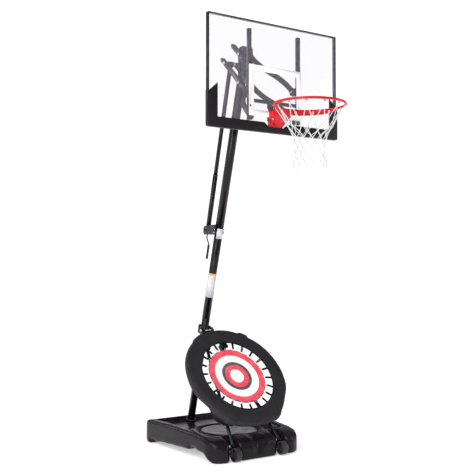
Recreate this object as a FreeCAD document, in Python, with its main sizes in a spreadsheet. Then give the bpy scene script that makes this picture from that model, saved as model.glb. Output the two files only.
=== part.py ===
import FreeCAD, Part
import math
import os
import re
from types import SimpleNamespace

import Sketcher

V = FreeCAD.Vector
os.makedirs("parts", exist_ok=True)
doc = FreeCAD.newDocument("portable_hoop")

# Driving dimensions in millimetres and degrees. The front of the hoop faces -Y and +Z is up.
# Places named "behind" are measured backwards from the front face of the backboard.
DIMENSIONS = dict(
    overall_depth=1820, rim_top=2438, rim_wire=17, rim_radius=237, rim_reach=371,
    board_width=1118, board_height=762, board_below_rim=149, panel_thickness=5,
    trim_depth=34, trim_lip=6, square_width=457, square_height=353, square_band=42,
    square_bottom=2392, bar_size=25, bar_spacing=428, bar_bottom=2366, bar_length=628,
    pole_lean=15.16, pole_foot_behind=1155, pole_lower_dia=60, pole_middle_dia=62.5,
    pole_upper_dia=65, pole_wall=1.2, pole_insertion=84,
    arm_length=447.3, arm_angle=43.43, arm_spacing=208, arm_height=34, arm_width=20,
    arm_inner_offset=49, arm_outer_offset=186.5, tail_length=264,
    pivot_behind=365.4, lower_pivot_up=2703, bolt_dia=12,
    jack_foot_behind=869.7, jack_foot_up=1640, jack_outer_dia=38, jack_inner_dia=32,
    jack_outer_length=450, jack_inner_length=915, screw_dia=14, rod_dia=10, crank_throw=38,
    base_width=782, base_length=1020, base_top=183, base_floor=127, base_valley=140,
    well_radius=222, well_groove=40, well_behind=580,
    wheel_dia=96, wheel_width=44, wheel_offset=203, wheel_behind=192, wheel_up=52,
    strut_dia=25, strut_top_offset=46, strut_top_behind=880, strut_top_up=862,
    strut_foot_behind=232, strut_foot_up=105,
    mat_behind=468, mat_up=555, mat_tilt=49.5, mat_radius=233, mat_thickness=3,
    hoop_radius=345, hoop_tube=25, pad_inner=292, pad_outer=413, pad_skirt=71,
    bungee_count=20, bungee_dia=7, net_length=415,
)

sheet = doc.addObject("Spreadsheet::Sheet", "Dims")
for row, (word, number) in enumerate(DIMENSIONS.items(), start=1):
    sheet.set(f"A{row}", word)
    sheet.set(f"B{row}", str(number))
    sheet.setAlias(f"B{row}", word)
doc.recompute()
dim = SimpleNamespace(**{word: float(sheet.get(word)) for word in DIMENSIONS})
nodes = {}


# ---------------------------------------------------------------- helpers

def bound(text):
    """An expression in which each word of the sheet points at its cell."""
    return re.sub(r"[a-z_]+", lambda m: "Dims." + m.group() if m.group() in DIMENSIONS else m.group(), text)


def size(obj, **sizes):
    """Sets sizes: text becomes an expression on the sheet, a number stays a number."""
    for name, value in sizes.items():
        if isinstance(value, str):
            obj.setExpression(name, bound(value))
        else:
            setattr(obj, name, value)
    return obj


def node(name, obj):
    obj.Label = name
    nodes[name] = obj
    return obj


def place(obj, at=(0, 0, 0), turn=None):
    obj.Placement = FreeCAD.Placement(V(*at), turn or FreeCAD.Rotation())
    return obj


def aim(direction):
    """The rotation that takes +Z to a direction."""
    return FreeCAD.Rotation(V(0, 0, 1), V(*direction))


def box(length, width, height, at=(0, 0, 0), centred=(True, True, False), turn=None):
    """A box whose start point is its centre in the directions that are centred."""
    obj = size(doc.addObject("Part::Box", "box"), Length=length, Width=width, Height=height)
    doc.recompute([obj])
    shift = [-0.5 * extent.Value if mid else 0
             for extent, mid in zip((obj.Length, obj.Width, obj.Height), centred)]
    turn = turn or FreeCAD.Rotation()
    obj.Placement = FreeCAD.Placement(V(*at) + turn.multVec(V(*shift)), turn)
    return obj


def cylinder(radius, height, at=(0, 0, 0), direction=(0, 0, 1), centred=False):
    obj = size(doc.addObject("Part::Cylinder", "cylinder"), Radius=radius, Height=height)
    doc.recompute([obj])
    turn = aim(direction)
    start = V(*at) - turn.multVec(V(0, 0, 0.5 * obj.Height.Value)) if centred else V(*at)
    obj.Placement = FreeCAD.Placement(start, turn)
    return obj


def torus(ring, wire, at=(0, 0, 0), turn=None):
    return place(size(doc.addObject("Part::Torus", "torus"), Radius1=ring, Radius2=wire), at, turn)


def cut(base, *tools):
    for tool in tools:
        result = doc.addObject("Part::Cut", "cut")
        result.Base, result.Tool = base, tool
        base = result
    return base


def fuse(*shapes):
    result = doc.addObject("Part::MultiFuse", "fuse")
    result.Shapes = list(shapes)
    result.Refine = True
    return result


def common(*shapes):
    result = doc.addObject("Part::MultiCommon", "common")
    result.Shapes = list(shapes)
    return result


def group(shapes):
    result = doc.addObject("Part::Compound", "group")
    result.Links = list(shapes)
    return result


def tube(outer, inner, length, at=(0, 0, 0), direction=(0, 0, 1)):
    return cut(cylinder(outer, length, at, direction), cylinder(inner, length, at, direction))


def new_body(name):
    return doc.addObject("PartDesign::Body", name)


def origin_plane(body, role):
    return next(feature for feature in body.Origin.OriginFeatures if feature.Role == role)


def new_sketch(body, role, offset=0):
    sketch = body.newObject("Sketcher::SketchObject", "sketch")
    sketch.AttachmentSupport = [(origin_plane(body, role), "")]
    sketch.MapMode = "FlatFace"
    sketch.AttachmentOffset = FreeCAD.Placement(V(0, 0, offset), FreeCAD.Rotation())
    return sketch


def outline(sketch, points, closed=True):
    """Straight edges through points, joined end to end."""
    first = sketch.GeometryCount
    ends = points[1:] + points[:1] if closed else points[1:]
    for start, end in zip(points, ends):
        sketch.addGeometry(Part.LineSegment(V(*start), V(*end)), False)
    last = sketch.GeometryCount - 1
    for index in range(first, last):
        sketch.addConstraint(Sketcher.Constraint("Coincident", index, 2, index + 1, 1))
    if closed:
        sketch.addConstraint(Sketcher.Constraint("Coincident", last, 2, first, 1))
    return sketch


def circle(sketch, centre, radius):
    """A circle whose radius is bound to the sheet when it is given as text."""
    index = sketch.addGeometry(Part.Circle(V(*centre), V(0, 0, 1), 1.0), False)
    value = 1.0 if isinstance(radius, str) else radius
    constraint = sketch.addConstraint(Sketcher.Constraint("Radius", index, value))
    if isinstance(radius, str):
        sketch.setExpression(f"Constraints[{constraint}]", bound(radius))
    return sketch


def rectangle(sketch, centre, width, height):
    """A rectangle about a centre, with its two sizes bound to the sheet."""
    x, y = centre
    outline(sketch, [(x - 5, y - 5), (x + 5, y - 5), (x + 5, y + 5), (x - 5, y + 5)])
    first = sketch.GeometryCount - 4
    for index, kind in enumerate(("Horizontal", "Vertical", "Horizontal", "Vertical")):
        sketch.addConstraint(Sketcher.Constraint(kind, first + index))
    for line, value in ((first, width), (first + 1, height)):
        constraint = sketch.addConstraint(Sketcher.Constraint("Distance", line, 10.0))
        sketch.setExpression(f"Constraints[{constraint}]", bound(value))
    middle = sketch.addGeometry(Part.Point(V(x, y, 0)), True)
    sketch.addConstraint(Sketcher.Constraint("Symmetric", first, 1, first + 1, 2, middle, 1))
    for axis, value in (("DistanceX", x), ("DistanceY", y)):
        sketch.addConstraint(Sketcher.Constraint(axis, -1, 1, middle, 1, value))
    return sketch


def pad(body, sketch, length, both_ways=True):
    feature = body.newObject("PartDesign::Pad", "pad")
    feature.Profile = sketch
    size(feature, Length=length)
    feature.Midplane = both_ways
    return feature


def pocket_through(body, sketch):
    feature = body.newObject("PartDesign::Pocket", "pocket")
    feature.Profile = sketch
    feature.Type = 1
    feature.Midplane = True
    return feature


def revolve(body, sketch, axis):
    feature = body.newObject("PartDesign::Revolution", "revolution")
    feature.Profile = sketch
    feature.ReferenceAxis = (sketch, [axis])
    feature.Angle = 360
    return feature


def ring_solid(name, profile):
    """A body turned about its own Z axis from a profile of (radius, height) points."""
    body = new_body(name)
    revolve(body, outline(new_sketch(body, "XZ_Plane"), profile), "V_Axis")
    return body


# ---------------------------------------------------------------- reference places

FACE = -dim.overall_depth / 2 + dim.rim_wire / 2 + dim.rim_radius + dim.rim_reach
RIM_CENTRE_UP = dim.rim_top - dim.rim_wire / 2
BOARD_BOTTOM = dim.rim_top - dim.board_below_rim
LEAN = math.radians(dim.pole_lean)
POLE_UP = V(0, -math.sin(LEAN), math.cos(LEAN))
SIDES = {"left": -1, "right": 1}


def at(behind, up, across=0):
    return (across, FACE + behind, up)


def pole_behind(up):
    return dim.pole_foot_behind - math.tan(LEAN) * up


def on_pole(up):
    return at(pole_behind(up), up)


LOWER_PIVOT = (dim.pivot_behind, dim.lower_pivot_up)
UPPER_PIVOT = (dim.pivot_behind, dim.lower_pivot_up + dim.arm_spacing)
DOWN = math.radians(dim.arm_angle)
REACH = (-dim.arm_length * math.cos(DOWN), -dim.arm_length * math.sin(DOWN))
BOARD_PIVOTS = [(b + REACH[0], u + REACH[1]) for b, u in (LOWER_PIVOT, UPPER_PIVOT)]
JACK_FOOT = V(*at(dim.jack_foot_behind, dim.jack_foot_up))
JACK_HEAD = V(*at(LOWER_PIVOT[0] + dim.tail_length * math.cos(DOWN),
                  LOWER_PIVOT[1] + dim.tail_length * math.sin(DOWN)))
JACK_UP = (JACK_HEAD - JACK_FOOT).normalize()
JACK_SPAN = (JACK_HEAD - JACK_FOOT).Length
MAT_TURN = FreeCAD.Rotation(V(1, 0, 0), dim.mat_tilt)
MAT_CENTRE = V(*at(dim.mat_behind, dim.mat_up))


def along_jack(distance):
    return tuple(JACK_FOOT + JACK_UP * distance)


def on_mat(across, slope, lift):
    """A point in the rebounder's own plane: across, up the slope, and off its surface."""
    return tuple(MAT_CENTRE + MAT_TURN.multVec(V(across, slope, lift)))


# ---------------------------------------------------------------- base, wheels and fill cap

def make_base():
    rear = dim.overall_depth / 2 - FACE
    front = rear - dim.base_length
    top = dim.base_top
    foot_front, foot_rear = front + 70, rear - 140
    side = new_body("base_side")
    outline(new_sketch(side, "YZ_Plane"), [(FACE + b, u) for b, u in (
        (rear - 10, 0), (foot_rear, 0), (foot_rear - 12, 20), (foot_rear - 165, 36),
        (525, 50), (505, 78), (440, 80), (420, 62), (foot_front + 75, 56), (foot_front, 0),
        (front + 6, 0), (front, 12), (front, 96), (front + 22, 128), (front + 75, 152),
        (front + 170, 170), (front + 300, top - 2), (870, top), (1120, top - 8),
        (rear - 16, top - 18), (rear, top - 42), (rear, 12))])
    pad(side, side.Group[-1], "base_width")

    half = dim.base_width / 2
    notch_in = dim.wheel_offset - 35
    notch_out = dim.wheel_offset + 37
    notch_deep = dim.strut_foot_behind + 90
    right_half = [(notch_in - 26, front), (notch_in, front + 26), (notch_in, notch_deep),
                  (notch_out, notch_deep), (notch_out, front + 26), (notch_out + 20, front + 2),
                  (half - 95, front), (half - 32, front + 30), (half, front + 100),
                  (half, rear - 74), (half - 22, rear - 22), (half - 74, rear)]
    left_half = [(-x, b) for x, b in reversed(right_half)]
    plan = new_body("base_plan")
    outline(new_sketch(plan, "XY_Plane"), [(x, FACE + b) for x, b in right_half + left_half])
    pad(plan, plan.Group[-1], "base_top * 3")

    valley = box(636, rear - 55 - 352, 100, at(352, dim.base_valley), (True, False, False))
    recess = box(600, 265, 100, at(rear - 35 - 265, dim.base_floor), (True, False, False))
    groove = ring_solid("well_groove", [
        (dim.well_radius, -14), (dim.well_radius + dim.well_groove - 8, -14),
        (dim.well_radius + dim.well_groove, 60), (dim.well_radius, 60)])
    place(groove, at(dim.well_behind, dim.base_valley))
    dish = cylinder("well_radius", 60, at(dim.well_behind, dim.base_valley - 2))
    pole_hole = cylinder("pole_lower_dia / 2 + 0.3", 300, on_pole(18), POLE_UP)
    cap_seat = cylinder(31, 60, at(1040, 166, 352))
    cap_neck = cylinder(20.3, 30, at(1040, 140, 352))
    axle_hole = cylinder(6.1, "base_width - 200", at(dim.wheel_behind, dim.wheel_up), (1, 0, 0), True)
    hand_holes = box(900, 70, 34, at(rear - 195, 0), (True, False, False))
    tank = cut(common(side, plan), valley, recess, groove, dish, pole_hole, cap_seat, cap_neck,
               axle_hole, hand_holes)
    node("base_tank", tank)

    cap = fuse(cylinder(26, 14, at(1040, 166.2, 352)), cylinder(20, 24, at(1040, 142.5, 352)))
    ribs = [box(6, 56, 8, at(1040, 176.2, 352), turn=FreeCAD.Rotation(V(0, 0, 1), turn))
            for turn in (0, 90)]
    node("fill_cap", cut(cap, *[cut(rib, cylinder(9, 20, at(1040, 170, 352))) for rib in ribs]))


def make_wheel(side, sign):
    """A ribbed plastic wheel turned about the axle, with a row of tread grooves."""
    wheel = new_body(f"wheel_{side}_body")
    pad(wheel, circle(new_sketch(wheel, "YZ_Plane"), (0, 0), "wheel_dia / 2"), "wheel_width")
    for face in (-1, 1):
        depth = new_sketch(wheel, "YZ_Plane", face * dim.wheel_width / 2)
        circle(circle(depth, (0, 0), "wheel_dia / 2 - 9"), (0, 0), "wheel_dia / 2 - 30")
        dish = wheel.newObject("PartDesign::Pocket", "dish")
        dish.Profile = depth
        dish.Length = 12
        dish.Reversed = face < 0
    tread = new_sketch(wheel, "YZ_Plane")
    edge = dim.wheel_dia / 2
    outline(tread, [(edge - 3, -2), (edge + 3, -3), (edge + 3, 3), (edge - 3, 2)])
    groove = pocket_through(wheel, tread)
    pattern = wheel.newObject("PartDesign::PolarPattern", "treads")
    pattern.Originals = [groove]
    pattern.Axis = (origin_plane(wheel, "X_Axis"), [""])
    pattern.Angle = 360
    pattern.Occurrences = 24
    wheel.Tip = pattern
    pocket_through(wheel, circle(new_sketch(wheel, "YZ_Plane"), (0, 0), 6.1))
    place(wheel, at(dim.wheel_behind, dim.wheel_up, sign * dim.wheel_offset))
    return node(f"wheel_{side}", wheel)


def make_axles():
    axles = [cylinder(6, 118, at(dim.wheel_behind, dim.wheel_up, sign * dim.wheel_offset), (1, 0, 0), True)
             for sign in SIDES.values()]
    node("wheel_axles", group(axles))


# ---------------------------------------------------------------- pole and struts

def make_pole():
    lower_joint, upper_joint = 958, 1656
    slope = math.cos(LEAN)
    over = dim.pole_insertion
    holes = [cylinder(4.1, 120, on_pole(up), (1, 0, 0), True) for up in (1618, 1640)]
    lower = tube("pole_lower_dia / 2", "pole_lower_dia / 2 - 1.5", (lower_joint + over - 22) / slope,
                 on_pole(22), POLE_UP)
    middle = tube("pole_middle_dia / 2", "pole_middle_dia / 2 - pole_wall",
                  (upper_joint + over - lower_joint) / slope, on_pole(lower_joint), POLE_UP)
    upper = tube("pole_upper_dia / 2", "pole_upper_dia / 2 - pole_wall", (2880 - upper_joint) / slope,
                 on_pole(upper_joint), POLE_UP)
    node("pole_lower", lower)
    node("pole_middle", cut(middle, *holes))
    node("pole_upper", upper)
    cap_foot = V(*on_pole(2880)) + POLE_UP * 0.05
    plug = cylinder("pole_upper_dia / 2 - pole_wall - 0.1", 18, tuple(cap_foot - POLE_UP * 18), POLE_UP)
    node("pole_cap", fuse(cylinder("pole_upper_dia / 2", 4, tuple(cap_foot), POLE_UP), plug))
    collar = tube("pole_lower_dia / 2 + 10", "pole_lower_dia / 2 + 0.1", 9,
                  on_pole(dim.base_floor + 11), POLE_UP)
    node("pole_collar", collar)


def make_label(name, low, high, dia, turn, spread):
    """A thin printed sheet that wraps part of the pole."""
    length = (high - low) / math.cos(LEAN)
    outer = cylinder(f"{dia} / 2 + 0.35", length, on_pole(low), POLE_UP)
    inner = cylinder(f"{dia} / 2 + 0.05", length, on_pole(low), POLE_UP)
    for shape in (outer, inner):
        shape.Angle = spread
        shape.Placement = shape.Placement * FreeCAD.Placement(V(), FreeCAD.Rotation(V(0, 0, 1), turn))
    node(name, cut(outer, inner))


def make_strut(side, sign):
    """A tube from the wheel fork up to the pole, with a flat lug and a cross tube at its ends."""
    top = V(*at(dim.strut_top_behind, dim.strut_top_up, sign * dim.strut_top_offset))
    foot = V(*at(dim.strut_foot_behind, dim.strut_foot_up, sign * dim.wheel_offset))
    run = top - foot
    way = V(run).normalize()
    shaft = cylinder("strut_dia / 2", run.Length - 38, tuple(foot + way * 6), tuple(way))
    slope = FreeCAD.Rotation(V(1, 0, 0), math.degrees(math.atan2(run.z, run.y)))
    lug = box(10, 68, 24, tuple(top - way * 17), (True, True, True), slope)
    cross = cylinder(9, "wheel_width", tuple(foot), (1, 0, 0), True)
    holes = [cylinder(5.1, 60, tuple(top), (1, 0, 0), True), cylinder(4.1, 60, tuple(foot), (1, 0, 0), True)]
    node(f"strut_{side}", cut(fuse(shaft, lug, cross), *holes))


def make_fork(side, sign):
    """Two plates beside the wheel that carry its axle and the foot of the strut."""
    plates = []
    for gap in (-1, 1):
        fork = new_body(f"fork_{side}")
        low, high = (dim.wheel_behind, dim.wheel_up), (dim.strut_foot_behind, dim.strut_foot_up)
        tilt = math.atan2(high[1] - low[1], high[0] - low[0])
        across = (15 * math.sin(tilt), -15 * math.cos(tilt))
        ends = [(low[0] - 10 * math.cos(tilt), low[1] - 10 * math.sin(tilt)),
                (high[0] + 12 * math.cos(tilt), high[1] + 12 * math.sin(tilt))]
        corners = [(ends[0][0] + across[0], ends[0][1] + across[1]),
                   (ends[1][0] + across[0], ends[1][1] + across[1]),
                   (ends[1][0] - across[0], ends[1][1] - across[1]),
                   (ends[0][0] - across[0], ends[0][1] - across[1])]
        pad(fork, outline(new_sketch(fork, "YZ_Plane"), corners), 3)
        holes = new_sketch(fork, "YZ_Plane")
        circle(circle(holes, low, 6.1), high, 4.1)
        pocket_through(fork, holes)
        place(fork, (sign * dim.wheel_offset + gap * (dim.wheel_width / 2 + 3.2), FACE, 0))
        plates.append(fork)
    node(f"wheel_fork_{side}", group(plates))


def bolt(centre, length, radius, head=1.9, direction=(1, 0, 0)):
    """A bolt with a round shank, a hexagon head and a nut, centred on a point."""
    way = V(*direction)
    shank = cylinder(radius, length, centre, direction, True)
    ends = []
    for end in (-1, 1):
        hexagon = size(doc.addObject("Part::Prism", "hexagon"), Polygon=6, Circumradius=radius * head,
                       Height=radius * 1.1)
        start = V(*centre) + way * (end * length / 2 - (radius * 1.1 if end > 0 else 0))
        ends.append(place(hexagon, tuple(start), aim(direction)))
    return fuse(shank, *ends)


def make_strut_fixings():
    wrap = new_body("strut_bracket_body")
    pad(wrap, outline(new_sketch(wrap, "XY_Plane"), [
        (-37, -62), (-33.2, -62), (-33.2, 30.3), (33.2, 30.3),
        (33.2, -62), (37, -62), (37, 34), (-37, 34)]), 66)
    place(wrap, on_pole(dim.strut_top_up + 4), FreeCAD.Rotation(V(1, 0, 0), dim.pole_lean))
    hole = cylinder(5.1, 120, at(dim.strut_top_behind, dim.strut_top_up), (1, 0, 0), True)
    node("strut_bracket", cut(wrap, hole))
    foot = [bolt(at(dim.strut_foot_behind, dim.strut_foot_up, sign * dim.wheel_offset), 66, 4)
            for sign in SIDES.values()]
    node("strut_bolts", group([bolt(at(dim.strut_top_behind, dim.strut_top_up), 119, 5)] + foot))


# ---------------------------------------------------------------- rebounder

def strut_point(sign, slope):
    """Where a strut passes below a line up the rebounder, in the rebounder's own plane."""
    ends = []
    for across, behind, up in ((dim.wheel_offset, dim.strut_foot_behind, dim.strut_foot_up),
                               (dim.strut_top_offset, dim.strut_top_behind, dim.strut_top_up)):
        ends.append(MAT_TURN.inverted().multVec(V(*at(behind, up, sign * across)) - MAT_CENTRE))
    share = (slope - ends[0].y) / (ends[1].y - ends[0].y)
    return ends[0] + (ends[1] - ends[0]) * share, (ends[1] - ends[0]).normalize()


def make_rebounder():
    ring_lift = -12
    ring = torus("hoop_radius", "hoop_tube / 2", on_mat(0, 0, ring_lift), MAT_TURN)
    posts, clamps, knobs = [], [], []
    normal = tuple(MAT_TURN.multVec(V(0, 0, 1)))
    for sign in SIDES.values():
        for slope in (-300, 336):
            under, way = strut_point(sign, slope)
            clamp_top = under.z + 22
            post_foot = on_mat(under.x, slope, clamp_top + 0.1)
            posts.append(cylinder(11, ring_lift - 2 - clamp_top, post_foot, normal))
            spin = FreeCAD.Rotation(V(0, 1, 0), way)
            block = box(42, 44, 44, on_mat(*under), (True, True, True), MAT_TURN * spin)
            world = tuple(MAT_TURN.multVec(way))
            bore = cylinder("strut_dia / 2 + 0.1", 120, on_mat(*under), world, True)
            clamps.append(cut(block, bore))
            outward = MAT_TURN.multVec(spin.multVec(V(sign, 0, 0)))
            start = V(*on_mat(*under)) + outward * 21.1
            stem = cylinder(5, 16, tuple(start), tuple(outward))
            grip = cylinder(17, 12, tuple(start + outward * 10), tuple(outward))
            knobs.append(fuse(stem, grip))
    node("rebounder_frame", fuse(ring, *posts))
    node("rebounder_clamps", group(clamps))
    node("clamp_knobs", group(knobs))
    node("rebounder_mat", cylinder("mat_radius", "mat_thickness", on_mat(0, 0, -dim.mat_thickness), normal))

    inner, outer = dim.mat_radius + 2, dim.hoop_radius - dim.hoop_tube / 2 - 1
    bungees = []
    for index in range(int(dim.bungee_count)):
        turn = math.radians(360 * (index + 0.5) / dim.bungee_count)
        start = V(*on_mat(inner * math.cos(turn), inner * math.sin(turn), -4))
        end = V(*on_mat(outer * math.cos(turn), outer * math.sin(turn), -11))
        bungees.append(cylinder("bungee_dia / 2", (end - start).Length, tuple(start), tuple(end - start)))
    node("rebounder_bungees", group(bungees))

    top, wall = 15, 10
    cover = ring_solid("pad_cover", [
        (dim.pad_inner, 3), (dim.pad_inner, top - 3), (dim.pad_inner + 5, top), (dim.pad_outer - 12, top),
        (dim.pad_outer, top - 9), (dim.pad_outer, top - dim.pad_skirt),
        (dim.pad_outer - wall, top - dim.pad_skirt), (dim.pad_outer - wall, 3)])
    node("rebounder_pad", place(cover, tuple(MAT_CENTRE), MAT_TURN))


# ---------------------------------------------------------------- lift arms

def arm_turn():
    way = V(0, REACH[0], REACH[1]).normalize()
    return FreeCAD.Rotation(way, V(1, 0, 0), way.cross(V(1, 0, 0)), "XYZ")


def make_arm(name, sign, pivot, tail, tail_hole, end_hole):
    """A square tube that runs straight past the pole and swings out to a bar of the backboard.

    Its own frame starts at the pole pivot, with X along the arm and Y across the hoop.
    """
    body = new_body(name + "_body")
    near, far = sign * dim.arm_inner_offset, sign * dim.arm_outer_offset
    start, bend, straight = -tail, 30, dim.arm_length - 47
    half_run, half_rise = (straight - bend) / 2, (far - near) / 2
    radius = (half_run ** 2 + half_rise ** 2) / (2 * abs(half_rise))
    swing = 2 * math.atan2(abs(half_rise), half_run)
    path = new_sketch(body, "XY_Plane")
    path.addGeometry(Part.LineSegment(V(start, near), V(bend, near)), False)
    middle = V((bend + straight) / 2, (near + far) / 2)
    bends = ((bend, near + sign * radius, True), (straight, far - sign * radius, False))
    for centre_x, centre_y, first in bends:
        ends = (V(bend, near), middle) if first else (middle, V(straight, far))
        towards = V(0, -1 if first else 1) * sign
        halfway = FreeCAD.Rotation(V(0, 0, 1), math.degrees(sign * swing / 2)).multVec(towards * radius)
        path.addGeometry(Part.Arc(ends[0], V(centre_x, centre_y) + halfway, ends[1]), False)
    path.addGeometry(Part.LineSegment(V(straight, far), V(dim.arm_length, far)), False)
    section = new_sketch(body, "YZ_Plane", start)
    rectangle(section, (near, 0), "arm_width", "arm_height")
    rectangle(section, (near, 0), "arm_width - 4", "arm_height - 4")
    pipe = body.newObject("PartDesign::AdditivePipe", "pipe")
    pipe.Profile = section
    pipe.Spine = (path, [])
    pipe.Mode = 0
    # The origin's XZ plane looks along -Y, so an offset across the hoop is negative.
    pad(body, circle(new_sketch(body, "XZ_Plane", -near), (0, 0), "arm_height / 2 + 4"), "arm_width")
    pad(body, circle(new_sketch(body, "XZ_Plane", -far), (dim.arm_length, 0), 28), "arm_width")
    pad(body, circle(new_sketch(body, "XZ_Plane", -near), (-tail, 0), "arm_height / 2"), "arm_width")
    holes = new_sketch(body, "XZ_Plane")
    circle(circle(holes, (0, 0), "bolt_dia / 2 + 0.05"), (dim.arm_length, 0), end_hole)
    if tail_hole:
        circle(holes, (-dim.tail_length, 0), 7.05)
    pocket_through(body, holes)
    hook = new_sketch(body, "XZ_Plane")
    if tail > 280 or not tail_hole:
        outline(hook, [(-tail - 40, 12), (-tail - 2, 4), (-tail + 12, 30), (-tail - 40, 30)])
        pocket_through(body, hook)
    place(body, at(*pivot), arm_turn())
    return node(name, body)


def make_arms():
    for side, sign in SIDES.items():
        tail = dim.tail_length + (46 if side == "left" else 0)
        make_arm(f"lower_arm_{side}", sign, LOWER_PIVOT, tail, True, "bolt_dia / 2 + 0.05")
        make_arm(f"upper_arm_{side}", sign, UPPER_PIVOT, 118, False, "bolt_dia / 2 + 0.3")
    pins = []
    for sign in SIDES.values():
        head = cylinder(12, 6, tuple(JACK_HEAD + V(sign * 59.2, 0, 0)), (sign, 0, 0))
        pins.append(fuse(cylinder(7, 44, tuple(JACK_HEAD + V(sign * 20, 0, 0)), (sign, 0, 0)), head))
    node("jack_stub_pins", group(pins))


def make_pole_head():
    """Two plates beside the top of the pole, tied by a front web, that carry the arm pivots."""
    behind, low, high = dim.pivot_behind, dim.lower_pivot_up - 34, dim.lower_pivot_up + dim.arm_spacing + 60
    front, rear = behind - 45, behind + 42
    shapes = []
    for sign in SIDES.values():
        plate = new_body("head_plate")
        outline(new_sketch(plate, "YZ_Plane"), [(FACE + b, u) for b, u in (
            (front, low + 18), (front + 16, low), (rear - 16, low), (rear, low + 18),
            (rear, high - 22), (rear - 22, high), (front + 18, high), (front, high - 18))])
        pad(plate, plate.Group[-1], 4)
        place(plate, (sign * 34.65, 0, 0))
        shapes.append(plate)
    shapes.append(box(67, 4, 190, at(front, low + 60), (True, False, False)))
    holes = [cylinder("bolt_dia / 2 + 0.05", 120, at(*pivot), (1, 0, 0), True)
             for pivot in (LOWER_PIVOT, UPPER_PIVOT)]
    node("pole_head_bracket", cut(fuse(*shapes), *holes))
    node("pole_pivot_bolts", group([bolt(at(*pivot), 136, dim.bolt_dia / 2)
                                    for pivot in (LOWER_PIVOT, UPPER_PIVOT)]))
    washers = [tube(14, "bolt_dia / 2 + 0.1", 2, at(pivot[0], pivot[1], sign * 36.8), (sign, 0, 0))
               for pivot in (LOWER_PIVOT, UPPER_PIVOT) for sign in SIDES.values()]
    node("pivot_washers", group(washers))


# ---------------------------------------------------------------- screw jack

def make_jack():
    up = tuple(JACK_UP)
    cross = (1, 0, 0)
    pin_bore = cylinder(5.1, 60, tuple(JACK_FOOT), cross, True)
    outer = tube("jack_outer_dia / 2", "jack_outer_dia / 2 - 1.5", "jack_outer_length - 12",
                 along_jack(-14), up)
    node("jack_outer_tube", cut(outer, pin_bore))
    bearing = tube("jack_outer_dia / 2 - 1.55", "screw_dia / 2 + 0.1", 34, along_jack(-14), up)
    node("jack_bearing", cut(bearing, cylinder(5.1, 60, tuple(JACK_FOOT), cross, True)))
    collar_foot = along_jack(dim.jack_outer_length - 25.9)
    node("jack_collar", tube("jack_outer_dia / 2 + 0.5", "jack_inner_dia / 2 + 0.1", 14, collar_foot, up))

    eye_length = 42
    inner_foot = along_jack(JACK_SPAN + 8 - dim.jack_inner_length)
    node("jack_inner_tube", tube("jack_inner_dia / 2", "jack_inner_dia / 2 - 1.5",
                                 dim.jack_inner_length - eye_length + 6, inner_foot, up))
    node("jack_nut", tube("jack_inner_dia / 2 - 1.55", "screw_dia / 2 + 0.1", 26, inner_foot, up))
    turn = FreeCAD.Rotation(V(1, 0, 0), V(0, -JACK_UP.z, JACK_UP.y) * -1, JACK_UP, "XYZ")
    block = box(36, 34, eye_length, along_jack(JACK_SPAN + 17 - eye_length), turn=turn)
    plug = cylinder("jack_inner_dia / 2 - 1.55", 30, along_jack(JACK_SPAN - 17 - eye_length + 17.1), up)
    node("jack_eye", cut(fuse(block, plug), cylinder(7.4, 60, tuple(JACK_HEAD), cross, True)))
    node("jack_screw", cylinder("screw_dia / 2", 412, along_jack(14), up))

    make_crank(turn)

    pins = [fuse(cylinder(5, 21, tuple(JACK_FOOT + V(sign * 12, 0, 0)), (sign, 0, 0)),
                 cylinder(9, 5, tuple(JACK_FOOT + V(sign * 27.2, 0, 0)), (sign, 0, 0)))
            for sign in SIDES.values()]
    node("jack_trunnions", group(pins))


def make_crank(turn):
    """A bent rod on the screw's axis with a turning sleeve and an end cap."""
    throw = dim.crank_throw
    corners = [V(0, 0, 13.9), V(0, 0, -62), V(0, -throw, -102), V(0, -throw, -216)]
    edges, last, bend = [], corners[0], 12
    for before, corner, after in zip(corners, corners[1:], corners[2:]):
        to_corner, from_corner = (corner - before).normalize(), (after - corner).normalize()
        angle = to_corner.getAngle(from_corner)
        back = bend * math.tan(angle / 2)
        start, end = corner - to_corner * back, corner + from_corner * back
        inward = (from_corner - to_corner).normalize()
        middle = corner + inward * (bend / math.cos(angle / 2) - bend)
        edges += [Part.LineSegment(last, start).toShape(), Part.Arc(start, middle, end).toShape()]
        last = end
    edges.append(Part.LineSegment(last, corners[-1]).toShape())
    path = Part.Wire(edges)
    section = Part.Wire([Part.Circle(corners[0], V(0, 0, 1), dim.rod_dia / 2).toShape()])
    rod = doc.addObject("Part::Feature", "crank_rod_shape")
    rod.Shape = path.makePipeShell([section], True, False)
    place(rod, tuple(JACK_FOOT), turn)
    node("crank_rod", rod)
    down = JACK_UP * -1
    grip_top = JACK_FOOT + turn.multVec(V(0, -throw, -110))
    node("crank_grip", tube(9, "rod_dia / 2 + 0.1", 100, tuple(grip_top), tuple(down)))
    cap = cut(cylinder(11, 8, tuple(grip_top + down * 100.3), tuple(down)),
              cylinder("rod_dia / 2 + 0.05", 5.8, tuple(grip_top + down * 100.3), tuple(down)))
    node("crank_end_cap", cap)


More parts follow.
